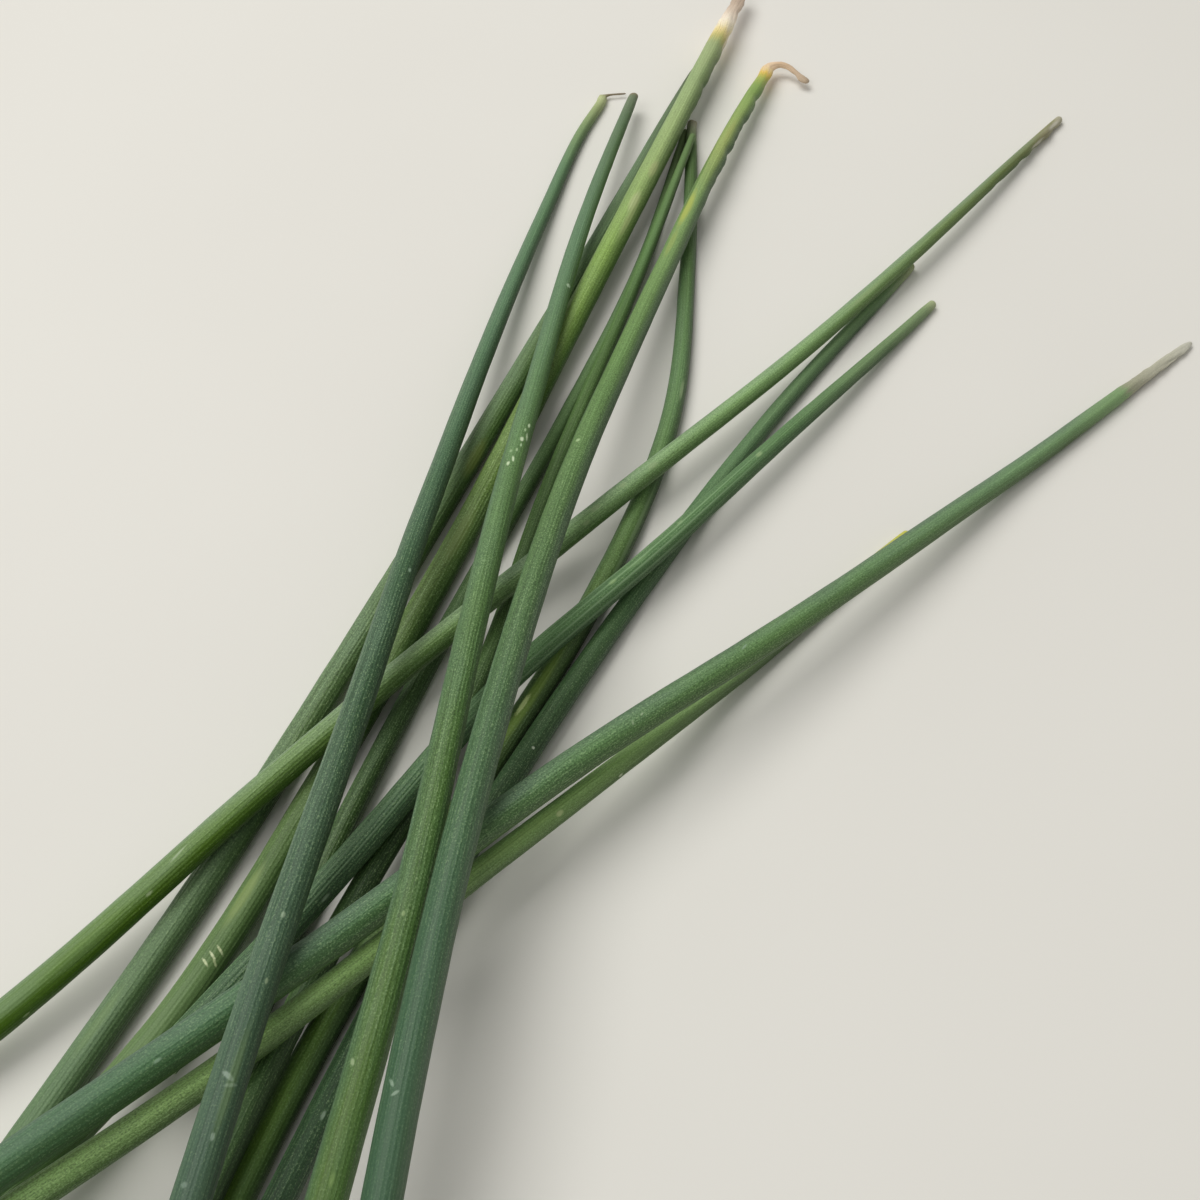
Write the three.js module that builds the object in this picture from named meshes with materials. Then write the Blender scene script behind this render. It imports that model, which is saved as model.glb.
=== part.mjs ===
// A loose bunch of thirteen cut chive leaves lying in a heap, in millimetres, +Z up.
// Each leaf is one hollow tapering tube: cut flat and open at its lower end (towards -Y), closed
// and withered at its tip (towards +Y). The leaves are laid down one after another, the lowest
// first, so each one lies on the surface or bends up over the leaves already under it.
// The origin is under the middle of the bunch, on the surface.

import * as THREE from "three";

const SIDES = 10; // flats round the outside of a leaf
const BORE_SIDES = 6; // flats round the hollow inside
const RINGS = 26; // sections along a leaf
const TIP_CROWDING = 1.35; // above 1, the sections stand closer together towards the tip
const WALL = 0.65; // thickness of the leaf's wall
const BORE_START = 2.3; // the hollow begins where the leaf is this thick
const CLEARANCE = 0.6; // air left between a leaf and the one that it lies on
const BEND_RADIUS = 400; // how tightly a leaf sags from what holds it up
const LAY_STEP = 3; // spacing of the points at which a leaf is laid down
const EASE = 3; // points on each side that a leaf's stiffness evens out
const WITHERED = 0.6; // how far a dry tip swells towards the thickness of the green blade
const PRESSED = 0.15; // a leaf's underside this near the surface is pressed flat on it
const MIDDLE = [-7, -8.3]; // the bunch's middle, in the plan in which the leaves' ways are given

// Lowest leaf first. way runs in plan from the cut end to the tip. base, neck and tip are outer
// diameters: at the cut, where the green blade ends, and at the very tip. dry is the length of
// the withered tip, and taper is 1 for an even taper and less for one that comes near the tip.
const LEAVES = [
  {
    name: "leaf_olive_long", colour: "#6f8a50", base: 4.2, neck: 0.9, tip: 0.9, dry: 0, taper: 0.22,
    way: [[-83.5, -126.5], [-65, -88.5], [-46.5, -49.5], [-30, -10.5], [-14, 29.5], [1.5, 69],
      [16.5, 109]],
  },
  {
    name: "leaf_slim_short", colour: "#5f8657", base: 3.3, neck: 1, tip: 1, dry: 0, taper: 0.7,
    way: [[-41.5, -74.5], [-30.5, -40.5], [-18.5, -7.5], [-5.5, 26], [6, 59.5], [14, 93.5]],
  },
  {
    name: "leaf_steep", colour: "#688f4f", base: 4.1, neck: 1.4, tip: 1, dry: 2, taper: 0.5,
    way: [[-52, -134.5], [-42.5, -101.5], [-30.5, -69], [-15.5, -38], [-0.5, -6.5], [10, 26],
      [13.5, 60.5], [15, 95]],
  },
  {
    name: "leaf_slim_hidden", colour: "#4f7148", base: 3.8, neck: 0.9, tip: 0.9, dry: 0, taper: 0.6,
    way: [[-55, -138], [-44, -100], [-31.5, -62.5], [-17, -25.5], [-7, 13], [4.5, 51], [15, 89]],
  },
  {
    name: "leaf_dark", colour: "#567a5c", base: 3.8, neck: 1, tip: 1, dry: 0, taper: 0.4,
    way: [[-51.5, -140.5], [-38.5, -105], [-26, -69.5], [-10.5, -36], [7, -2.5], [26.5, 30],
      [48, 60.5]],
  },
  {
    name: "leaf_white_tip", colour: "#7d9a55", base: 4.2, neck: 2.4, tip: 0.9, dry: 11, taper: 0.3,
    way: [[-80, -114], [-52.5, -79], [-35, -38], [-19, 3.5], [-4, 45], [11, 87.5], [25, 129]],
  },
  {
    name: "leaf_lime_diagonal", colour: "#86a84c", base: 4.1, neck: 1.1, tip: 1.1, dry: 0, taper: 0.62,
    way: [[-101, -100.5], [-67.5, -71.5], [-38.5, -38], [-9.5, -4.5], [20.5, 28], [49, 61.5],
      [75.5, 96.5]],
  },
  {
    name: "leaf_ribbed", colour: "#6b9070", base: 3.8, neck: 1.1, tip: 1.1, dry: 0, taper: 0.5,
    way: [[-48.5, -79.5], [-30, -52.5], [-12, -25], [9.5, 0.5], [30, 26], [50.5, 52]],
  },
  {
    name: "leaf_yellow_green", colour: "#8fb061", base: 4, neck: 0.9, tip: 0.9, dry: 0, taper: 0.45,
    way: [[-99.5, -130], [-69, -104.5], [-39.5, -79], [-11.5, -51.5], [15.5, -23], [42.5, 5.5]],
  },
  {
    name: "leaf_broad_diagonal", colour: "#7ba077", base: 4.7, neck: 1.8, tip: 0.7, dry: 15, taper: 0.5,
    way: [[-96.5, -125.5], [-65, -98], [-34, -70], [-4, -41.5], [27.5, -14], [57.5, 15],
      [88, 43.5]],
  },
  {
    name: "leaf_grey_left", colour: "#7c9f84", base: 4.6, neck: 1.4, tip: 0.7, dry: 4.2, taper: 0.7,
    way: [[-50.5, -144], [-43.5, -108.5], [-36.5, -72.5], [-29.5, -37], [-23.5, -1], [-17, 35],
      [-9, 70.5], [-3.5, 91], [0, 100], [0.8, 102.2], [4.3, 103]],
  },
  {
    name: "leaf_mid_green", colour: "#7aa56b", base: 4.9, neck: 1.5, tip: 1.5, dry: 0, taper: 0.7,
    way: [[-38, -145], [-29.5, -104.5], [-21.5, -64], [-16, -22.5], [-10.5, 18.5], [-3.5, 59],
      [5.5, 99.5]],
  },
  {
    name: "leaf_hooked_tip", colour: "#82ab72", base: 4.6, neck: 1.8, tip: 0.9, dry: 10.5, taper: 0.5,
    way: [[-26.5, -143], [-23, -106], [-18, -69], [-11.5, -32], [-4, 4], [5.5, 40.5], [16.5, 76],
      [25, 99.5], [27, 104.5], [28.2, 108], [30.6, 109], [34.6, 105]],
  },
];

// Outer diameter of a leaf at a distance back from its tip.
function diameter(leaf, fromTip, length) {
  if (fromTip < leaf.dry) {
    return leaf.tip + (WITHERED * (leaf.neck - leaf.tip) * fromTip) / leaf.dry;
  }
  const blade = (fromTip - leaf.dry) / (length - leaf.dry);
  return leaf.neck + (leaf.base - leaf.neck) * Math.pow(Math.max(blade, 0), leaf.taper);
}

// Points along a leaf's way at even steps from its tip, each with its own radius.
function layLine(leaf) {
  const points = leaf.way.map(([x, y]) => new THREE.Vector3(x - MIDDLE[0], y - MIDDLE[1], 0));
  const curve = new THREE.CatmullRomCurve3(points.reverse(), false, "centripetal");
  const length = curve.getLength();
  const count = Math.round(length / LAY_STEP);
  return curve.getSpacedPoints(count).map((point, k) => ({
    x: point.x,
    y: point.y,
    fromTip: (k * length) / count,
    radius: diameter(leaf, (k * length) / count, length) / 2,
  }));
}

// Evens out a list of heights, as a leaf's own stiffness does, carrying its ends straight on.
function even(heights, reach) {
  const last = heights.length - 1;
  const at = (k) => {
    if (k < 0) return 2 * heights[0] - heights[-k];
    if (k > last) return 2 * heights[last] - heights[2 * last - k];
    return heights[k];
  };
  return heights.map((_, k) => {
    let sum = 0;
    let weight = 0;
    for (let step = -reach; step <= reach; step++) {
      const share = 1 + Math.cos((Math.PI * step) / (reach + 1));
      sum += share * at(k + step);
      weight += share;
    }
    return sum / weight;
  });
}

// Heights of a leaf's middle line when it is laid on the surface and on the leaves under it.
function layDown(line, under) {
  const need = line.map((point) => {
    let height = point.radius * Math.cos(Math.PI / SIDES);
    for (const other of under) {
      for (const below of other) {
        const reach = point.radius + below.radius + CLEARANCE;
        const apart = Math.hypot(point.x - below.x, point.y - below.y);
        if (apart < reach) {
          height = Math.max(height, below.z + Math.sqrt(reach * reach - apart * apart));
        }
      }
    }
    return height;
  });
  const sag = (k, m) => Math.pow(line[k].fromTip - line[m].fromTip, 2) / (2 * BEND_RADIUS);
  let heights = line.map((_, k) => Math.max(...need.map((height, m) => height - sag(k, m))));
  for (let pass = 0; pass < 3; pass++) {
    heights = even(heights, EASE).map((height, k) => Math.max(height, need[k]));
  }
  return even(heights, EASE - 1);
}

// One point on a laid leaf, at a distance back from its tip.
function pointAt(line, fromTip) {
  const step = line[1].fromTip;
  const k = Math.min(Math.floor(fromTip / step), line.length - 2);
  const part = fromTip / step - k;
  const mix = (key) => line[k][key] * (1 - part) + line[k + 1][key] * part;
  return new THREE.Vector3(mix("x"), mix("y"), mix("z"));
}

// Sections across a leaf from its tip to its cut end: a centre, two directions and a radius.
function sections(leaf, line) {
  const length = line.at(-1).fromTip;
  const span = LAY_STEP / 2;
  return Array.from({ length: RINGS }, (_, k) => {
    const fromTip = length * Math.pow(k / (RINGS - 1), TIP_CROWDING);
    const ahead = pointAt(line, Math.max(fromTip - span, 0));
    const behind = pointAt(line, Math.min(fromTip + span, length));
    const along = ahead.sub(behind).normalize();
    const across = new THREE.Vector3(along.y, -along.x, 0).normalize();
    const up = new THREE.Vector3().crossVectors(across, along);
    return { centre: pointAt(line, fromTip), across, up, radius: diameter(leaf, fromTip, length) / 2 };
  });
}

// One ring of points round a section, with a flat side downwards.
function ring(section, radius, sides) {
  return Array.from({ length: sides }, (_, k) => {
    const turn = ((k + 0.5) * 2 * Math.PI) / sides - Math.PI / 2;
    const point = section.centre.clone()
      .addScaledVector(section.across, radius * Math.cos(turn))
      .addScaledVector(section.up, radius * Math.sin(turn));
    point.z = point.z < PRESSED ? 0 : point.z;
    return point;
  });
}

// The closed solid of one leaf: outside, cut end with its wall's edge, and the hollow inside.
function leafGeometry(leaf, line) {
  const places = [];
  const triangles = [];
  const add = (points) => {
    const first = places.length;
    places.push(...points);
    return points.map((_, k) => first + k);
  };
  const join = (front, back) => {
    front.forEach((_, k) => {
      const next = (k + 1) % front.length;
      triangles.push([front[k], back[next], back[k]], [front[k], front[next], back[next]]);
    });
  };
  const close = (loop, point) => {
    const [centre] = add([point]);
    loop.forEach((corner, k) => triangles.push([centre, loop[(k + 1) % loop.length], corner]));
  };

  const all = sections(leaf, line);
  const outside = all.map((section) => add(ring(section, section.radius, SIDES)));
  outside.slice(1).forEach((loop, k) => join(outside[k], loop));
  close(outside[0], all[0].centre);

  const hollow = all.filter((section) => 2 * section.radius > BORE_START).reverse();
  const inside = hollow.map((section) => add(ring(section, section.radius - WALL, BORE_SIDES)));
  inside.slice(1).forEach((loop, k) => join(inside[k], loop));
  close(inside.at(-1).slice().reverse(), hollow.at(-1).centre);

  // the cut edge of the wall, stitched between the two loops by turning round them together
  const outer = outside.at(-1);
  const inner = inside[0];
  let a = 0;
  let b = 0;
  while (a < SIDES || b < BORE_SIDES) {
    const takeOuter = b === BORE_SIDES || (a < SIDES && (a + 1) / SIDES <= (b + 1) / BORE_SIDES);
    if (takeOuter) {
      triangles.push([outer[a % SIDES], outer[(a + 1) % SIDES], inner[b % BORE_SIDES]]);
      a++;
    } else {
      triangles.push([outer[a % SIDES], inner[(b + 1) % BORE_SIDES], inner[b % BORE_SIDES]]);
      b++;
    }
  }

  const geometry = new THREE.BufferGeometry();
  geometry.setAttribute("position", new THREE.Float32BufferAttribute(places.flatMap((p) => p.toArray()), 3));
  geometry.setIndex(triangles.flat());
  geometry.computeVertexNormals();
  return geometry;
}

const bunch = new THREE.Group();
const laid = [];
for (const leaf of LEAVES) {
  const line = layLine(leaf);
  const heights = layDown(line, laid);
  line.forEach((point, k) => {
    point.z = heights[k];
  });
  laid.push(line);
  const material = new THREE.MeshStandardMaterial({ color: leaf.colour, roughness: 0.55, metalness: 0 });
  const mesh = new THREE.Mesh(leafGeometry(leaf, line), material);
  mesh.name = leaf.name;
  bunch.add(mesh);
}

export default bunch;
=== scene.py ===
# A loose bunch of thirteen cut chive leaves on a pale table, lying in the heap that the packed
# solids give: each leaf here is the finer skin of one of them and stands for it. The leaves are
# laid down in order, the lowest first. Sizes are in millimetres until a mesh is placed.

import math

import bmesh
import bpy
import numpy as np
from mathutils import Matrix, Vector, noise


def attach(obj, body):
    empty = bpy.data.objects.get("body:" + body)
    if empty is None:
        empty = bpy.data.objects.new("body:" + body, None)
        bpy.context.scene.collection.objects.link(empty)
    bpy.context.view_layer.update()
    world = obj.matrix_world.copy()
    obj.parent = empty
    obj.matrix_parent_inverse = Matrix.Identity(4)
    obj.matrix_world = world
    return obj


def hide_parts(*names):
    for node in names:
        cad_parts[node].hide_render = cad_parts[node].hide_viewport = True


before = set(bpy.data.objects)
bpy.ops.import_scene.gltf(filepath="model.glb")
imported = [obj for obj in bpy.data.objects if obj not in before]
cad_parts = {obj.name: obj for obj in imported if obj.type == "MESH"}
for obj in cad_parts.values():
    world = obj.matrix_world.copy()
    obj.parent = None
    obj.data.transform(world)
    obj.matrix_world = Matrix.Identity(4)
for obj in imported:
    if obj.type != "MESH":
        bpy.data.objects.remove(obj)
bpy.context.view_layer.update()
scene = bpy.context.scene


# The camera looks down at the bunch from its cut ends, 50 degrees below the horizon. The lower
# ends of the leaves run out of the picture at the bottom and on the left.
eye = bpy.data.objects.new("eye", bpy.data.cameras.new("eye"))
eye.data.angle = math.radians(30)
eye.data.clip_start = 0.01
eye.location = (0.007, -0.1917, 0.23111)
eye.rotation_euler = (math.radians(40), 0, 0)
scene.collection.objects.link(eye)
scene.camera = eye


# The light is a broad soft window above and behind the bunch on its left, with a weaker one on
# the left in front, so the leaves are palest along their upper left sides.
def soft_light(name, place, size, watts, colour):
    """A round lamp that faces the middle of the bunch."""
    lamp = bpy.data.objects.new(name, bpy.data.lights.new(name, "AREA"))
    lamp.data.shape = "DISK"
    lamp.data.size = size
    lamp.data.energy = watts
    lamp.data.color = colour
    lamp.location = place
    lamp.rotation_euler = (-Vector(place)).to_track_quat("-Z", "Y").to_euler()
    scene.collection.objects.link(lamp)


soft_light("window", (-0.34, 0.5, 0.96), 0.9, 7.2, (1, 0.985, 0.93))
soft_light("front", (-0.45, -0.5, 0.85), 0.8, 3, (1, 0.98, 0.94))
scene.world = bpy.data.worlds.new("room")
scene.world.use_nodes = True
room = scene.world.node_tree.nodes["Background"]
room.inputs["Color"].default_value = (1, 0.985, 0.94, 1)
room.inputs["Strength"].default_value = 0.29
scene.view_settings.view_transform = "Standard"


# The table is a plain pale board, matt and faintly mottled, and far wider than the picture. The
# leaves lie loose on it.
TABLE_SIDE = 8  # metres


def linear(hex_colour):
    """A colour as it looks on a screen, turned into the numbers that a shader works in."""
    channels = [int(hex_colour[k : k + 2], 16) / 255 for k in (1, 3, 5)]
    return tuple(c / 12.92 if c < 0.04 else ((c + 0.055) / 1.055) ** 2.4 for c in channels) + (1,)


class Wire:
    """One socket of a finish. A sum written on it adds its Math nodes."""

    def __init__(self, finish, socket):
        self.finish = finish
        self.socket = socket

    def math(self, operation, *terms):
        return self.finish.node("Math", {"operation": operation}, dict(enumerate(terms)))

    def __add__(self, other):
        return self.math("ADD", self, other)

    def __sub__(self, other):
        return self.math("SUBTRACT", self, other)

    def __rsub__(self, other):
        return self.math("SUBTRACT", other, self)

    def __mul__(self, other):
        return self.math("MULTIPLY", self, other)

    def __truediv__(self, other):
        return self.math("DIVIDE", self, other)

    def __pow__(self, other):
        return self.math("POWER", self, other)

    __radd__ = __add__
    __rmul__ = __mul__

    def above(self, low, high):
        """0 below low, 1 above high, and an even slope between them."""
        return self.finish.node("MapRange", {}, {0: self, 1: low, 2: high})


class Finish:
    """A material and its nodes."""

    def __init__(self, name):
        self.material = bpy.data.materials.new(name)
        self.material.use_nodes = True
        self.tree = self.material.node_tree
        self.shader = self.tree.nodes["Principled BSDF"]

    def put(self, socket, value):
        if isinstance(value, Wire):
            self.tree.links.new(value.socket, socket)
        else:
            socket.default_value = value

    def node(self, kind, settings, values, output=0):
        """A new node: its settings, then what its sockets hold, then the output that is read."""
        made = self.tree.nodes.new("ShaderNode" + kind)
        for key, value in settings.items():
            if key == "stops":
                stops = made.color_ramp.elements
                for _ in value[2:]:
                    stops.new(0.5)
                for stop, (place, colour) in zip(stops, value):
                    stop.position = place
                    stop.color = colour
            else:
                setattr(made, key, value)
        for key, value in values.items():
            self.put(made.inputs[key], value)
        return Wire(self, made.outputs[output])

    def scaled(self, vector, by):
        return self.node("VectorMath", {"operation": "MULTIPLY"}, {0: vector, 1: by})

    def grain(self, vector, scale, detail):
        return self.node("TexNoise", {}, {"Vector": vector, "Scale": scale, "Detail": detail})

    def blend(self, share, first, second, how="MIX"):
        """The colour first where share is 0, turning into second where it is 1."""
        settings = {"data_type": "RGBA", "blend_type": how}
        return self.node("Mix", settings, {0: share, 6: first, 7: second}, 2)

    def bump(self, height, strength, distance):
        values = {"Height": height, "Strength": strength, "Distance": distance}
        self.put(self.shader.inputs["Normal"], self.node("Bump", {}, values))


bm = bmesh.new()
bmesh.ops.create_grid(bm, x_segments=1, y_segments=1, size=TABLE_SIDE / 2)
table = bpy.data.objects.new("table", bpy.data.meshes.new("table"))
bm.to_mesh(table.data)
bm.free()
scene.collection.objects.link(table)
board = Finish("table")
mottle = board.grain(board.node("TexCoord", {}, {}, "Object"), 9, 3)
board_colour = board.blend(mottle, linear("#e9e7e3"), linear("#f1f0ec"))
board.put(board.shader.inputs["Base Color"], board_colour)
board.shader.inputs["Roughness"].default_value = 0.75
board.shader.inputs["Specular IOR Level"].default_value = 0.25
table.data.materials.append(board.material)


# The first leaves lie along the table under all the others: a long olive one, a slim short one,
# a steep one, a slim one that is nearly hidden and a dark one. A chive leaf is one hollow tube of
# green skin with fine ribs along it, cut off flat at its lower end and closed at its tip.
MIDDLE = (-7, -8.3)  # the bunch's middle, in the plan in which the leaves' ways are given
CURVE_STEP = 0.01  # of the stretch between two points of a way
WITHERED = 0.6  # how far a dried tip of the solids widens towards the neck
FLAT_SIDES = 10  # the solids' leaves have this many sides, which sets how low they lie
CLEARANCE = 0.6
BEND_RADIUS = 400  # how tightly a leaf sags from what holds it up
LAY_STEP = 3
EASE = 3  # points on each side that a leaf's stiffness evens out
FINE_STEPS = 8  # points of the skin's middle line in each LAY_STEP
FINE_EASE = 6

laid = []


def plan_curve(way):
    """Points close together along a smooth line through way, and each one's distance along."""
    points = [Vector(p) - Vector(MIDDLE) for p in reversed(way)]
    points = [2 * points[0] - points[1], *points, 2 * points[-1] - points[-2]]
    line = []
    for a, b, c, d in zip(points, points[1:], points[2:], points[3:]):
        ab, bc, cd = (math.sqrt((q - p).length) for p, q in ((a, b), (b, c), (c, d)))
        leave = ((b - a) / ab - (c - a) / (ab + bc) + (c - b) / bc) * bc
        arrive = ((c - b) / bc - (d - b) / (bc + cd) + (d - c) / cd) * bc
        for t in np.arange(0, 1, CURVE_STEP):
            line.append(
                b + leave * t + (3 * (c - b) - 2 * leave - arrive) * t * t
                + (2 * (b - c) + leave + arrive) * t * t * t
            )
    line.append(points[-2])
    line = np.array(line)
    steps = np.linalg.norm(np.diff(line, axis=0), axis=1)
    return line, np.concatenate([[0], np.cumsum(steps)])


def diameter(leaf, from_tip, length):
    """Outer diameters of a leaf's solid at distances back from its tip."""
    tip, neck, dry = leaf["tip"], leaf["neck"], leaf["dry"]
    blade = np.clip((from_tip - dry) / (length - dry), 0, 1)
    wide = neck + (leaf["base"] - neck) * blade ** leaf["taper"]
    if dry:
        withered = tip + WITHERED * (neck - tip) * from_tip / dry
        wide = np.where(from_tip < dry, withered, wide)
    return wide


def even(heights, reach):
    """Evens out heights, as a leaf's own stiffness does, carrying its ends straight on."""
    share = 1 + np.cos(np.pi * np.arange(-reach, reach + 1) / (reach + 1))
    before = 2 * heights[0] - heights[reach:0:-1]
    after = 2 * heights[-1] - heights[-2 : -reach - 2 : -1]
    return np.convolve(np.concatenate([before, heights, after]), share / share.sum(), "valid")


def lay_down(places, from_tip, radius):
    """Heights of a leaf's middle line on the table and on the leaves already laid."""
    need = radius * math.cos(math.pi / FLAT_SIDES)
    for other in laid:
        reach = radius[:, None] + other["radius"] + CLEARANCE
        apart = np.linalg.norm(places[:, None] - other["places"], axis=2)
        over = other["heights"] + np.sqrt(np.maximum(reach**2 - apart**2, 0))
        need = np.maximum(need, np.where(apart < reach, over, 0).max(axis=1))
    sag = (from_tip[:, None] - from_tip) ** 2 / (2 * BEND_RADIUS)
    heights = (need - sag).max(axis=1)
    for _ in range(3):
        heights = np.maximum(even(heights, EASE), need)
    return even(heights, EASE - 1)


RIBS = 24
AROUND = 4 * RIBS  # points round a leaf
ALONG = 230  # rings along it
BORE_RINGS = 36
STRAIGHT_BORE = 0.5  # the bore's radius in the straight tube, so that it lies inside the skin


def straight_tube():
    """A tube along Z, of radius and length 1 from tip to cut end, with its hollow inside."""
    bm = bmesh.new()
    inner = bm.faces.layers.int.new("inner")
    bore = bm.verts.layers.float.new("bore")
    tip = bmesh.ops.create_circle(bm, segments=AROUND, radius=1)["verts"]
    tip_edges = list(bm.edges)
    bmesh.ops.spin(
        bm, geom=tip + tip_edges, cent=(0, 0, 0), axis=(0, 0, 1), dvec=(0, 0, 1 / ALONG),
        angle=0, steps=ALONG, use_duplicate=False,
    )
    bmesh.ops.contextual_create(bm, geom=tip_edges)
    skin = set(bm.faces)
    rim = [e for e in bm.edges if e.is_boundary]
    edge = bmesh.ops.extrude_edge_only(bm, edges=rim)["geom"]
    lip = [v for v in edge if isinstance(v, bmesh.types.BMVert)]
    bmesh.ops.scale(bm, vec=(STRAIGHT_BORE, STRAIGHT_BORE, 1), verts=lip)
    for v in lip:
        v[bore] = 1
    rim = [e for e in bm.edges if e.is_boundary]
    bmesh.ops.spin(
        bm, geom=lip + rim, cent=(0, 0, 0), axis=(0, 0, 1), dvec=(0, 0, -1 / BORE_RINGS),
        angle=0, steps=BORE_RINGS, use_duplicate=False,
    )
    bmesh.ops.contextual_create(bm, geom=[e for e in bm.edges if e.is_boundary])
    for face in set(bm.faces) - skin:
        face[inner] = 1
    bmesh.ops.recalc_face_normals(bm, faces=bm.faces)
    mesh = bpy.data.meshes.new("tube")
    bm.to_mesh(mesh)
    bm.free()
    return mesh


tube = straight_tube()

WALL = 0.65
BORE_START = 2.3  # the hollow begins where the leaf is this thick
CROWDING = 1.35  # over 1 it draws the rings closer together towards the tip
KNOB_AT = 0.9  # from the tip
CUT_CREASES = 90  # creases fade out this far up from the cut end
FLATTENED = 0.42  # a dried tip is lower by this share, and wider by the next
SPREAD = 0.3
AHEAD = 0.8  # a leaf's direction is taken between points this far on each side
TABLE_GAP = 0.02

# Each ripple in the skin's shape: how fine it is round the leaf, how long it is, and its seed.
SLOW = (0.4, 14, 0)
QUICK = (1.2, 4, 20)
FOLDS = (0.9, 1 / 0.9, 40)
WAVES = (0.3, 2.2, 60)


def ripples(leaf, kind, turn, from_tip):
    """Smooth noise between about -1 and 1 at each point of the skin."""
    fine, long, seed = kind
    shift = leaf["seed"] + seed
    points = np.stack([np.cos(turn) * fine + shift, np.sin(turn) * fine, from_tip / long], axis=1)
    return np.array([noise.noise(point) for point in points])


def hollow_from(leaf, length):
    """How far back from the tip the hollow begins."""
    from_tip = np.linspace(0, length, 2000)
    return from_tip[diameter(leaf, from_tip, length) > BORE_START][0]


def papery(leaf, from_tip, thick):
    """Outer diameters with the dried tip as it shrank, up to the neck where the green begins."""
    dried = np.clip(from_tip / leaf["dry"], 0, 1) ** leaf["fullness"]
    dried = leaf["end"] + (leaf["neck"] - leaf["end"]) * dried
    dried += leaf["knob"] * np.exp(-((from_tip - KNOB_AT) ** 2))
    return np.where(from_tip < leaf["dry"], dried, thick)


def skin_radius(leaf, turn, from_tip, thick, dry, length):
    """Outer radii with all that makes the skin uneven, and with the rounded end."""
    slow, quick, folds, waves = (
        ripples(leaf, kind, turn, from_tip) for kind in (SLOW, QUICK, FOLDS, WAVES)
    )
    radius = thick / 2 * (1 + 0.018 * slow + 0.008 * quick)

    # Ribs run along the green only. Creases are deepest at the cut end, and a dried tip crumples.
    rib = np.cos(RIBS * turn + 0.35 * slow) * (0.75 + 0.5 * quick)
    radius += leaf["rib"] * rib * (1 - dry) * np.clip(thick / 3, 0.3, 1)
    near_cut = np.clip(1 - (length - from_tip) / CUT_CREASES, 0, 1) ** 1.5
    radius += folds * (leaf["creases"] * near_cut + 0.005)
    radius *= 1 + dry * (0.3 * quick + 0.25 * folds)

    # Small waves run down the right side behind the tip, and fade out over their last 12 mm.
    wavy = np.clip(from_tip / 2, 0, 1) * np.clip((leaf["wavy_to"] - from_tip) / 12, 0, 1)
    radius += leaf["wavy"] * waves * wavy * np.clip(0.5 + 0.8 * np.cos(turn), 0, 1)

    end = np.clip(from_tip / (leaf["rounded"] * leaf["tip"]), 0, 1)
    return radius * (np.sqrt(1 - (1 - end) ** 2) * 0.92 + 0.08)


def leaf_mesh(leaf, curve, distances, heights_at):
    """The leaf's skin and bore, bent along its way, with each point's place on the leaf."""
    length = distances[-1]
    mesh = tube.copy()
    mesh.name = leaf["name"]
    unit = np.empty(len(mesh.vertices) * 3)
    mesh.vertices.foreach_get("co", unit)
    x, y, z = unit.reshape(-1, 3).T
    bore = np.empty(len(z))
    mesh.attributes["bore"].data.foreach_get("value", bore)
    inside = bore > 0.5
    turn = np.arctan2(y, x)
    bore_end = hollow_from(leaf, length)
    from_tip = length * np.clip(z, 0, 1) ** CROWDING
    from_tip = np.where(inside, bore_end + (length - bore_end) * z, from_tip)

    # A dried tip is dry through for a third of its length, and gives way to green a little past
    # its neck.
    thick = diameter(leaf, from_tip, length)
    dry = np.zeros(len(z))
    if leaf["dry"]:
        thick = papery(leaf, from_tip, thick)
        dry = np.clip(1.3 - from_tip / leaf["dry"], 0, 1)
    radius = skin_radius(leaf, turn, from_tip, thick, dry, length)
    radius = np.where(inside, thick / 2 - WALL, radius)

    def middle(s):
        s = np.clip(s, 0, length)
        flat = [np.interp(s, distances, curve[:, k]) for k in range(2)]
        return np.stack([*flat, heights_at(s)], axis=1)

    along = middle(from_tip - AHEAD) - middle(from_tip + AHEAD)
    along /= np.linalg.norm(along, axis=1)[:, None]
    across = np.stack([along[:, 1], -along[:, 0], np.zeros(len(z))], axis=1)
    across /= np.linalg.norm(across, axis=1)[:, None]
    up = np.cross(across, along)
    spin = turn + dry * leaf["twist"] * from_tip
    place = middle(from_tip)
    place += across * (radius * (1 + SPREAD * dry) * np.cos(spin))[:, None]
    place += up * (radius * (1 - FLATTENED * dry) * np.sin(spin))[:, None]
    place += along * (leaf["slant"] * np.cos(turn) * np.exp(-from_tip / 1.5))[:, None]
    place[:, 2] = np.maximum(place[:, 2], TABLE_GAP)
    mesh.vertices.foreach_set("co", (place / 1000).ravel())

    spot = np.stack([np.cos(turn), np.sin(turn), from_tip], axis=1).astype(np.float32)
    mesh.attributes.new("spot", "FLOAT_VECTOR", "POINT").data.foreach_set("vector", spot.ravel())
    inner = np.empty(len(mesh.polygons), np.int32)
    mesh.attributes["inner"].data.foreach_get("value", inner)
    mesh.polygons.foreach_set("material_index", inner)
    mesh.polygons.foreach_set("use_smooth", np.ones(len(inner), bool))
    mesh.attributes.remove(mesh.attributes["bore"])
    mesh.attributes.remove(mesh.attributes["inner"])
    mesh.update()
    return mesh


# How fine each pattern of the skin is: round the leaf twice, then along it.
STREAKS = (3.2, 3.2, 0.022)
LINES = (10, 10, 0.06)
CLOUDS = (0.9, 0.9, 0.07)
CELLS = (12, 12, 4)
TURNING_GREEN = 14  # the green has all its detail this far below a dried tip


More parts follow.
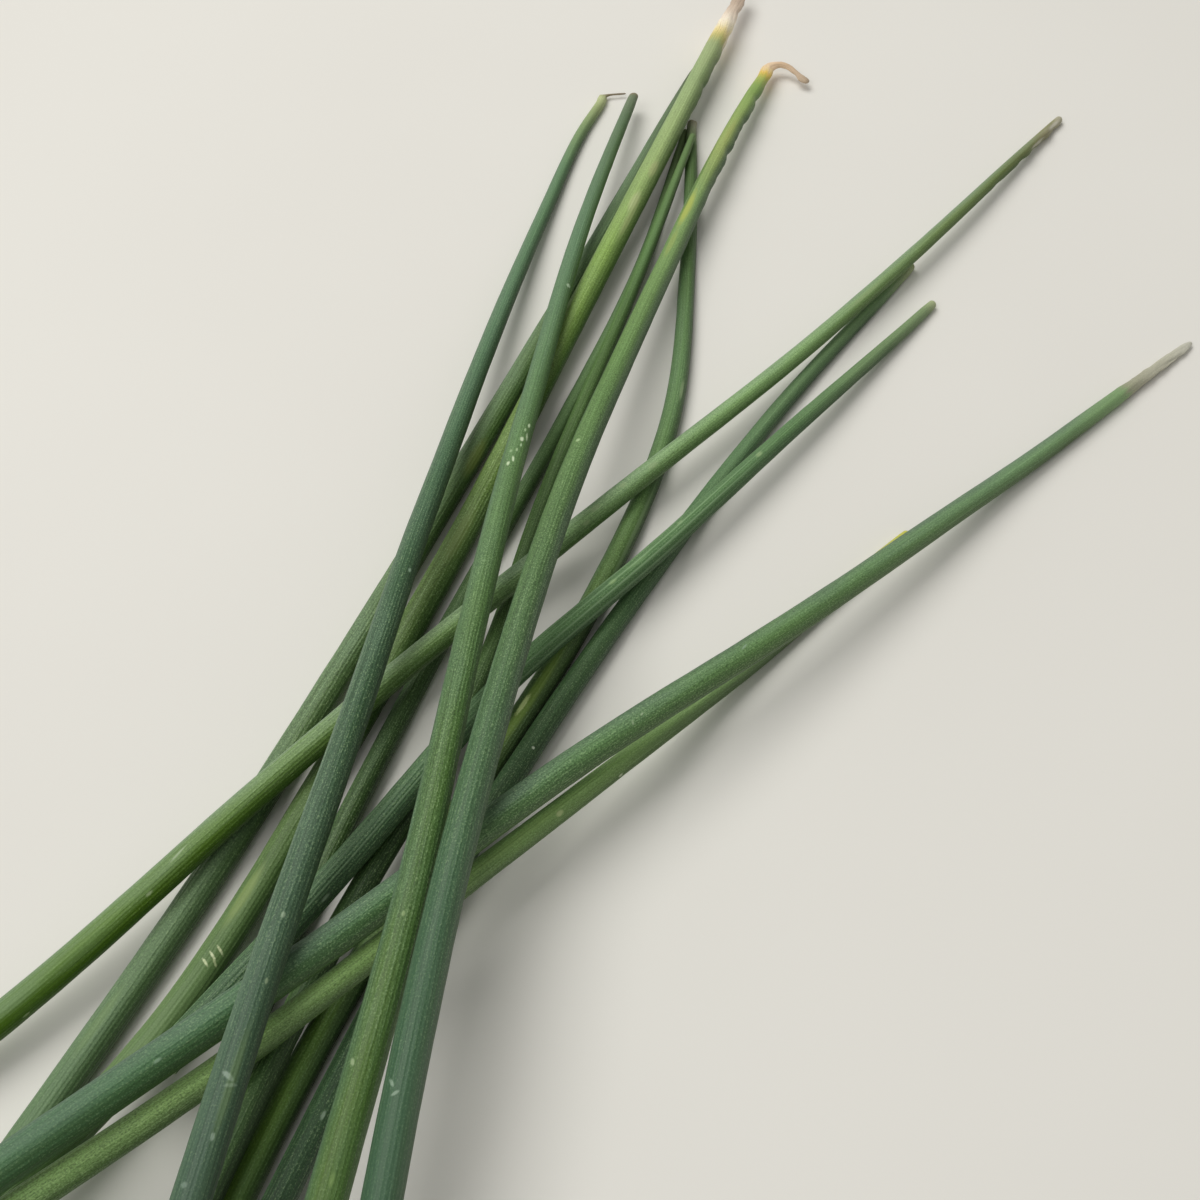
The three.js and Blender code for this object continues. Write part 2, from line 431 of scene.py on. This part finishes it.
def skin_finish(leaf, length):
    """Green skin: its tones from tip to cut end, its waxy bloom with a painted sheen, its painted
    shade, and the streaks, grain and marks on it.
    """
    skin = Finish(leaf["name"])
    spot = skin.node("Attribute", {"attribute_name": "spot"}, {}, "Vector")
    across, up, from_tip = (skin.node("SeparateXYZ", {}, {0: spot}, k) for k in range(3))
    streak = skin.grain(skin.scaled(spot, STREAKS), 1, 3)
    line = skin.grain(skin.scaled(spot, LINES), 1, 2)
    cloud = skin.grain(skin.scaled(spot, CLOUDS), 1, 3)
    cells = skin.grain(skin.scaled(spot, CELLS), 1, 3)

    # The tones meet in ragged borders.
    stops = [(place / length, linear(colour)) for place, colour in leaf["tones"]]
    green = from_tip.above(leaf["dry"], leaf["dry"] + TURNING_GREEN)
    ragged = (streak - 0.5) * 2.5 + (cloud - 0.5) * 3 * green
    tone = skin.node("ValToRGB", {"stops": stops}, {0: (from_tip + ragged) / length})

    # Grey wax lies on the left side, the top and both edges, as much as the leaf says. On the left
    # side and the top it also carries a painted sheen where the light falls. The right and lower
    # side is darkened with painted shade.
    left, top, edges = leaf["wax_where"]
    side = across.math("ABSOLUTE", across)
    wax = (0.5 - across * 0.5) * left + (0.5 + up * 0.5) * top + side * side * edges
    wax = (wax + (cloud - 0.5) * 0.9 + (line - 0.5) * 0.5).above(0.1, 1)
    tone = skin.blend(wax * green, tone, linear(leaf["wax"]))
    # Painted shade: the right and lower side turns to a darker green, for the side turned away
    # from the light.
    under = (across - up * 0.25 + (streak - 0.5)).above(0, 1.2) * green
    tone = skin.blend(under * 0.85, tone, linear(leaf["under"]))

    # The fine grain is strongest in the middle of the leaf, and pale dots lie in it.
    fine = from_tip.above(20, 130) * 0.6 - from_tip.above(150, 215) * 0.75 + 0.4
    shade = 1 + (line - 0.5) * (fine * 0.85 + 0.15) + (streak - 0.5) * 0.3
    tone = skin.blend(1, tone, shade + (cells - 0.5) * 2.2 * fine, "MULTIPLY")
    dots = (cells + line * 0.35).above(0.74, 0.88) * green * fine
    tone = skin.blend(dots * 0.4, tone, linear("#a9bd8f"))

    # Each mark is a ragged spot on the side of the leaf that it is turned to.
    for at, turn, long, wide, lean, colour, strength in leaf["marks"]:
        c, s = math.cos(math.radians(turn)), math.sin(math.radians(turn))
        thick = float(diameter(leaf, np.array([at]), length)[0])
        aside = (up * c - across * s) * (thick / wide)
        away = (from_tip - at) * (2 / long) + aside * lean
        near = (1.5 - (away * away + aside * aside) ** 0.5 - cells).above(0, 0.5)
        facing = (across * c + up * s).above(0, 0.2)
        tone = skin.blend(near * facing * strength, tone, linear(colour))

    skin.put(skin.shader.inputs["Base Color"], tone)
    skin.put(skin.shader.inputs["Roughness"], 0.4 + cloud * 0.14 + wax * 0.12)
    skin.shader.inputs["Specular IOR Level"].default_value = 0.35
    skin.bump(line * 0.7 + streak * 0.3 + cells * 0.4, 0.6, 0.00012)
    return skin.material


def flesh_finish():
    """The pale wet flesh of the cut edge and of the hollow."""
    flesh = Finish("flesh")
    fibre = flesh.grain(flesh.node("TexCoord", {}, {}, "Object"), 1800, 3)
    colour = flesh.blend(fibre.above(0.35, 0.7), linear("#8fae74"), linear("#bccb9c"))
    flesh.put(flesh.shader.inputs["Base Color"], colour)
    flesh.shader.inputs["Roughness"].default_value = 0.35
    flesh.bump(fibre, 0.4, 0.0001)
    return flesh.material


flesh = flesh_finish()

PLAIN_LEAF = {
    "dry": 0,  # how far the dried tip reaches
    "end": 0,  # how thick it has shrunk to at its end
    "fullness": 0.75,  # over 1 it stays thin for longer, under 1 it fills out sooner
    "knob": 0,  # how much thicker its very end is
    "twist": 0,  # in radians a millimetre
    "rounded": 0.5,  # how long the rounded end is, in tip thicknesses
    "slant": 0,  # how far the end is cut or worn aslant
    "rib": 0.03,  # how far the ribs stand out
    "wavy": 0.05,  # how deep the waves behind the tip are, and how far down they go
    "wavy_to": 30,
    "creases": 0,  # at the cut end
    "marks": [],
}


def lay_leaf(**given):
    """Lays one leaf on the heap and makes the piece that stands for its solid.

    Tip, neck and base are its thicknesses there, and a taper below 1 swells it sooner from the
    neck. Its way runs from cut end to tip, and each tone has its distance from the tip. The waxy
    bloom, with a painted sheen for the light, lies on its left, its top and both edges, by the
    three shares given for it, and a darker colour is painted as shade on its right side. A mark
    is its distance from the tip, its turn round the leaf in degrees from the right side, its
    length, width and lean, its colour and its strength.
    """
    leaf = {**PLAIN_LEAF, **given}
    curve, distances = plan_curve(leaf["way"])
    length = distances[-1]
    from_tip = np.linspace(0, length, round(length / LAY_STEP) + 1)
    places = np.stack([np.interp(from_tip, distances, curve[:, k]) for k in range(2)], axis=1)
    radius = diameter(leaf, from_tip, length) / 2
    heights = lay_down(places, from_tip, radius)
    laid.append({"places": places, "radius": radius, "heights": heights})

    fine = np.linspace(0, length, len(from_tip) * FINE_STEPS)
    smooth = even(np.interp(fine, from_tip, heights), FINE_EASE)

    def heights_at(s):
        return np.interp(s, fine, smooth)

    mesh = leaf_mesh(leaf, curve, distances, heights_at)
    piece = bpy.data.objects.new("skin_" + leaf["name"], mesh)
    scene.collection.objects.link(piece)
    piece.data.materials.append(skin_finish(leaf, length))
    piece.data.materials.append(flesh)
    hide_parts("leaf_" + leaf["name"])
    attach(piece, "root")


lay_leaf(
    name="olive_long", slot="olive_leaf", seed=1.3,
    base=4.2, neck=0.9, tip=0.9, taper=0.22, rib=0.04,
    way=[
        (-83.5, -126.5), (-65, -88.5), (-46.5, -49.5), (-30, -10.5), (-14, 29.5), (1.5, 69),
        (16.5, 109),
    ],
    tones=[
        (0, "#4f5738"), (18, "#45542f"), (45, "#49642b"), (60, "#557431"), (105, "#5b7a34"),
        (150, "#5a753e"), (200, "#628254"), (256, "#63845d"),
    ],
    wax="#6f8968", wax_where=(0.5, 0.4, 0.2), under="#244308",
    marks=[
        (97.7, 50, 9, 2.2, 0, "#7d8a45", 0.6), (195.7, 96, 12, 1.4, 0, "#83a064", 0.3),
    ],
)
lay_leaf(
    name="slim_short", slot="green_leaf", seed=2.1,
    base=3.3, neck=1, tip=1, taper=0.7,
    way=[
        (-41.5, -74.5), (-30.5, -40.5), (-18.5, -7.5), (-5.5, 26), (6, 59.5), (14, 93.5),
    ],
    tones=[
        (0, "#76895a"), (30, "#749a5d"), (90, "#4c6c37"), (177, "#385127"),
    ],
    wax="#56704f", wax_where=(0.5, 0.1, 0.3), under="#223e0d",
)
lay_leaf(
    name="steep", slot="olive_leaf", seed=3.7,
    base=4.1, neck=1.4, tip=1, taper=0.5, dry=2, end=1, rounded=0.15,
    way=[
        (-52, -134.5), (-42.5, -101.5), (-30.5, -69), (-15.5, -38), (-0.5, -6.5), (10, 26),
        (13.5, 60.5), (15, 95),
    ],
    # The tones at the dried tip are painted paler than its own brown-grey, as painted light
    # against the shade of the leaves over it.
    tones=[
        (0, "#a89f8a"), (2.5, "#8d9478"), (6, "#56713e"), (20, "#4f6e34"), (60, "#668b55"),
        (110, "#698a46"), (140, "#617f3c"), (185, "#618631"), (242, "#5e841c"),
    ],
    wax="#688663", wax_where=(0.25, 0.1, 0.45), under="#1e3414",
    marks=[
        (63.5, 54, 5, 0.6, 0, "#93ab80", 0.8), (124, 84, 22, 1.6, 0, "#93b352", 0.6),
        # The mark at 125.3 mm, on the top, is a painted glint: a yellow-white highlight.
        (125.3, 96, 4.5, 0.8, 0, "#ecffb0", 1), (92, 40, 24, 0.7, 0, "#8fa77c", 0.5),
    ],
)
lay_leaf(
    name="slim_hidden", slot="dark_leaf", seed=4.4,
    base=3.8, neck=0.9, tip=0.9, taper=0.6,
    way=[
        (-55, -138), (-44, -100), (-31.5, -62.5), (-17, -25.5), (-7, 13), (4.5, 51), (15, 89),
    ],
    tones=[
        (0, "#6d8856"), (30, "#61854e"), (50, "#496830"), (110, "#3a5426"), (150, "#3a5530"),
        (238, "#33502a"),
    ],
    wax="#63874d", wax_where=(0.4, 0.1, 0.3), under="#102307",
)
lay_leaf(
    name="dark", slot="dark_leaf", seed=5.2,
    base=3.8, neck=1, tip=1, taper=0.4,
    way=[
        (-51.5, -140.5), (-38.5, -105), (-26, -69.5), (-10.5, -36), (7, -2.5), (26.5, 30),
        (48, 60.5),
    ],
    tones=[
        (0, "#a8b184"), (9, "#83a070"), (50, "#6d8f63"), (80, "#527146"), (110, "#3e5a34"),
        (170, "#29422a"), (225, "#284226"),
    ],
    wax="#557a53", wax_where=(0.35, 0.15, 0.35), under="#1e3a1f",
    marks=[
        (109.8, 60, 0.5, 0.5, 0, "#dce6d2", 0.85), (165.5, 68, 1.6, 0.5, 0, "#9fb59f", 0.7),
    ],
)


# The long leaf with the white tip lies over those five. Its last centimetre has dried out: it is
# white and creased like paper, with a yellow ring where it joins the living green.
lay_leaf(
    name="white_tip", slot="olive_leaf", seed=6.6,
    base=4.2, neck=2.4, tip=0.9, taper=0.3, dry=11, end=0.9, twist=0.12, wavy=0.28, wavy_to=44,
    way=[
        (-80, -114), (-52.5, -79), (-35, -38), (-19, 3.5), (-4, 45), (11, 87.5), (25, 129),
    ],
    tones=[
        (0, "#b8a392"), (5, "#c8b3a0"), (8, "#e2cfbc"), (11, "#fff2e0"), (13.2, "#fff3d6"),
        (15, "#f8e39c"), (17, "#cbc47b"), (19, "#abbb87"), (30, "#a8be87"), (50, "#aac37f"),
        (75, "#8eb157"), (105, "#6e8c40"), (150, "#58733a"), (190, "#56723f"), (215, "#688553"),
        (267, "#4f6d47"),
    ],
    wax="#829d6a", wax_where=(0.2, 0.12, 0.25), under="#284c09",
    marks=[
        (207.4, 84, 0.5, 1.3, 1.5, "#d3dfb2", 0.9), (206.2, 76, 0.5, 1.4, 1.5, "#dbe5bb", 0.9),
        (205.1, 64, 0.5, 1.5, 1.5, "#cfdaac", 0.85), (206.8, 56, 0.5, 1.2, 1.5, "#c3d09d", 0.7),
        (197, 100, 12, 1.6, 0, "#90a663", 0.6), (54, 62, 5, 1.5, 0, "#b7be86", 0.55),
        (62.5, 74, 6, 1.5, 0, "#c3cc98", 0.6), (66, 58, 12, 1.2, 0, "#aebb80", 0.5),
        (17, 6, 6, 0.9, 0, "#f0e2c8", 0.8), (134, 80, 12, 2.2, 0, "#74874a", 0.6),
    ],
)


# A lime green leaf runs over them on the diagonal, furthest to the left at its cut end. Its tip
# is a small withered patch.
lay_leaf(
    name="lime_diagonal", slot="lime_leaf", seed=7.9,
    base=4.1, neck=1.1, tip=1.1, taper=0.62, wavy=0.32,
    way=[
        (-101, -100.5), (-67.5, -71.5), (-38.5, -38), (-9.5, -4.5), (20.5, 28), (49, 61.5),
        (75.5, 96.5),
    ],
    tones=[
        (0, "#bdb9a2"), (7, "#9d9573"), (11, "#858a5d"), (20, "#78884f"), (80, "#98c17c"),
        (130, "#83a66d"), (165, "#73954d"), (195, "#638825"), (225, "#597f10"), (265, "#527708"),
    ],
    wax="#869d82", wax_where=(0.85, 0, 0), under="#2f4f02",
    marks=[
        (194.5, 92, 2.4, 0.5, 1, "#a9bd98", 0.8), (200.4, 52, 1.2, 0.5, 0, "#a5b78c", 0.7),
        (219.7, 8, 1.2, 0.4, 0, "#9fb080", 0.7), (3, 50, 4, 0.8, 0, "#d2cfc0", 0.8),
        (9, 20, 5, 0.6, 0, "#c4c2b0", 0.8), (5, 120, 9, 0.8, 0, "#8b8d60", 0.7),
        (59, 72, 10, 0.7, 0, "#9ab07c", 0.5), (113.4, 92, 1.6, 1, 0, "#9db384", 0.5),
        (119.1, 86, 2.2, 1, 0, "#a0b588", 0.55), (121.7, 54, 1.6, 0.8, 0, "#9ab07f", 0.5),
        (107.8, 74, 2.4, 1.1, 0, "#9fb586", 0.45),
    ],
)


# The ribbed leaf beside it is blue-green, with its ribs standing out. It is the shortest, and its
# lower end is out of sight under the leaves that are laid later.
lay_leaf(
    name="ribbed", slot="grey_green_leaf", seed=8.3,
    base=3.8, neck=1.1, tip=1.1, taper=0.5, rib=0.055,
    way=[
        (-48.5, -79.5), (-30, -52.5), (-12, -25), (9.5, 0.5), (30, 26), (50.5, 52),
    ],
    tones=[
        (0, "#b9c297"), (3, "#8ca276"), (40, "#6b925e"), (90, "#5e8552"), (125, "#547552"),
        (165, "#3a583a"),
    ],
    wax="#5b7b57", wax_where=(0.45, 0.1, 0.3), under="#254420",
    marks=[
        (138.1, 32, 1.8, 0.6, 0, "#93aa90", 0.7), (31.2, 150, 3, 0.8, 0, "#95ab88", 0.6),
        (77.8, 94, 1.8, 0.7, 0, "#9ebd80", 0.6), (45.9, 86, 1.6, 0.8, 0, "#a6bf8c", 0.6),
        (63.5, 102, 1.4, 0.6, 0, "#9dba86", 0.5), (72.7, 88, 5, 0.5, 0, "#8db07c", 0.45),
        (122, 62, 80, 0.3, 0, "#7f9c78", 0.4), (126, 98, 70, 0.28, 0, "#7f9c78", 0.35),
        (130, 128, 60, 0.28, 0, "#86a17e", 0.3), (70, 58, 60, 0.32, 0, "#9cba90", 0.5),
        (66, 96, 56, 0.3, 0, "#9cba90", 0.45), (74, 134, 50, 0.3, 0, "#9cba90", 0.4),
        (80, 20, 60, 0.3, 0, "#8fae84", 0.35),
    ],
)


# Two leaves fan out to the right together: a yellow-green one with a yellow tip, and over it a
# broad grey-green one that ends in a long point, dried white.
lay_leaf(
    name="yellow_green", slot="lime_leaf", seed=9.1,
    base=4, neck=0.9, tip=0.9, taper=0.45,
    way=[
        (-99.5, -130), (-69, -104.5), (-39.5, -79), (-11.5, -51.5), (15.5, -23), (42.5, 5.5),
    ],
    # Its tones from 60 to 158 mm are painted lighter than its own green, as painted light against
    # the shade that the broad leaf casts on it.
    tones=[
        (0, "#d3d25c"), (5, "#c5c964"), (10, "#a3b068"), (30, "#829e6d"), (60, "#93b86e"),
        (90, "#9ac174"), (130, "#98bd74"), (158, "#a4cc82"), (176, "#84a862"), (196, "#7c9f5c"),
    ],
    wax="#6f8266", wax_where=(0.1, 0, 0.45), under="#284609",
    marks=[
        (70, 52, 1.4, 0.8, 0, "#b9c98f", 0.8), (59.6, 8, 0.9, 0.5, 0, "#c4cfae", 0.8),
        (76, 80, 26, 1.1, 0, "#86a55f", 0.5),
    ],
)
lay_leaf(
    name="broad_diagonal", slot="grey_green_leaf", seed=10.7,
    base=4.7, neck=1.8, tip=0.7, taper=0.5, dry=15, end=0.35, fullness=0.55, twist=0.08, rib=0.025,
    way=[
        (-96.5, -125.5), (-65, -98), (-34, -70), (-4, -41.5), (27.5, -14), (57.5, 15), (88, 43.5),
    ],
    tones=[
        (0, "#d0cfc2"), (6, "#c3c2b0"), (12, "#b1b09c"), (15.5, "#a0a288"), (17, "#87a775"),
        (40, "#81a674"), (90, "#6f965b"), (130, "#638a57"), (180, "#4f7a4f"), (250, "#4f7a56"),
    ],
    wax="#5c7063", wax_where=(0.8, 0, 0), under="#2e4714",
    marks=[
        (185.9, 62, 1.2, 0.5, 0, "#8dab8f", 0.7), (115.3, 68, 0.4, 0.8, 0.8, "#a9c09a", 0.5),
        (113.6, 76, 0.6, 0.4, 0.5, "#b4c8a6", 0.5), (96, 88, 1, 0.5, 1, "#9fb8a3", 0.5),
    ],
)


# The last three lie on top, side by side: a blue-grey leaf whose tip has dried to a bent brown
# thread, a mid green one with a blunt tip, and one with a pale, hooked tip.
lay_leaf(
    name="grey_left", slot="grey_green_leaf", seed=11.4,
    base=4.6, neck=1.4, tip=0.7, taper=0.7, dry=4.2, end=0.32, fullness=7, creases=0.03,
    way=[
        (-50.5, -144), (-43.5, -108.5), (-36.5, -72.5), (-29.5, -37), (-23.5, -1), (-17, 35),
        (-9, 70.5), (-3.5, 91), (0, 100), (0.8, 102.2), (4.3, 103),
    ],
    tones=[
        (0, "#8a7d6c"), (3.4, "#8d8065"), (4.6, "#cbd4a0"), (8, "#a6b57e"), (14, "#89a36f"),
        (24, "#6c9168"), (60, "#628763"), (110, "#3f6342"), (160, "#3a5a3c"), (205, "#415d49"),
        (255, "#425947"),
    ],
    wax="#637d67", wax_where=(0.3, 0.1, 0.5), under="#25411f",
    marks=[
        (177.4, 76, 1, 0.6, 0, "#9fb598", 0.7), (185.7, 58, 0.9, 0.5, 0, "#a3b792", 0.6),
        (197.4, 80, 0.9, 1.6, 0.8, "#a9bdae", 0.6), (198.3, 66, 0.6, 1.5, -1, "#9db3a0", 0.5),
        (204.2, 70, 1.2, 0.5, 0, "#9fb4a4", 0.7), (209.7, 108, 0.9, 0.9, 0, "#98ad9e", 0.4),
        (121.8, 48, 0.9, 0.6, 0, "#9db89f", 0.7), (198, 66, 16, 1.2, 0, "#6b8554", 0.4),
    ],
)
lay_leaf(
    name="mid_green", slot="green_leaf", seed=12.8,
    base=4.9, neck=1.5, tip=1.5, taper=0.7, rounded=0.12, slant=0.3,
    way=[
        (-38, -145), (-29.5, -104.5), (-21.5, -64), (-16, -22.5), (-10.5, 18.5), (-3.5, 59),
        (5.5, 99.5),
    ],
    tones=[
        (0, "#948469"), (1, "#7a886d"), (8, "#687f5f"), (40, "#688b68"), (90, "#678b57"),
        (150, "#53743c"), (200, "#53712f"), (248, "#56772e"),
    ],
    wax="#5e7c61", wax_where=(0.35, 0, 0.45), under="#4c702f",
    marks=[
        (84.6, 48, 1.1, 0.5, 0, "#cfe3bd", 1), (85.9, 62, 0.9, 0.4, 0, "#b5d1a2", 0.9),
        (87.1, 42, 1.6, 0.5, 0.5, "#cfe3bd", 1), (88.1, 66, 1.1, 0.7, 0, "#d8ebc6", 1),
        (89.4, 62, 0.9, 0.4, 0, "#b9d4a8", 0.9), (90.7, 76, 0.9, 0.4, 0, "#aecb9b", 0.9),
        (91.1, 104, 0.8, 0.5, 0, "#a4c294", 0.8), (92.8, 82, 1.3, 0.5, 0.6, "#cfe3bd", 1),
        (93.9, 100, 1.1, 0.5, 0, "#cde0ba", 1), (113.8, 96, 0.5, 1, 0, "#8fb07e", 0.45),
        (52.5, 46, 0.9, 0.9, 0, "#bcd6b4", 0.9), (186.7, 118, 1, 0.8, 0.5, "#b1c79a", 0.6),
        (199.7, 78, 2, 0.7, 0, "#8fae62", 0.3), (168.4, 88, 0.9, 0.5, 0, "#a3bd84", 0.6),
    ],
)
lay_leaf(
    name="hooked_tip", slot="green_leaf", seed=13.5,
    base=4.6, neck=1.8, tip=0.9, taper=0.5,
    dry=10.5, end=0.6, fullness=1.3, knob=0.45, twist=0.1, creases=0.03, wavy=0.38, wavy_to=50,
    way=[
        (-26.5, -143), (-23, -106), (-18, -69), (-11.5, -32), (-4, 4), (5.5, 40.5), (16.5, 76),
        (25, 99.5), (27, 104.5), (28.2, 108), (30.6, 109), (34.6, 105),
    ],
    tones=[
        (0, "#bda88f"), (2.5, "#cfb79d"), (6, "#e3c4a2"), (8.5, "#f6d8b6"), (10.2, "#f5dca8"),
        (11.6, "#ecc95a"), (13, "#b8c264"), (16, "#90af61"), (24, "#98b268"), (34, "#a5b76e"),
        (48, "#89a969"), (90, "#6c9053"), (130, "#5a7b49"), (190, "#446649"), (266, "#43634c"),
    ],
    wax="#66836a", wax_where=(-0.25, 0, 0.74), under="#374e2f",
    marks=[
        (110.6, 112, 0.9, 0.8, 0, "#b4d09a", 0.8), (211, 120, 0.8, 0.9, 1, "#a0b9a2", 0.6),
        (212.2, 102, 0.6, 1, -1, "#a4bca6", 0.55), (51, 108, 11, 1.6, 0, "#b9c35c", 0.75),
        (44, 132, 26, 0.8, 0, "#56763c", 0.6), (60, 104, 9, 1.2, 0, "#a4b462", 0.5),
        (30, 84, 8, 1, 0, "#a5ad66", 0.5),
    ],
)
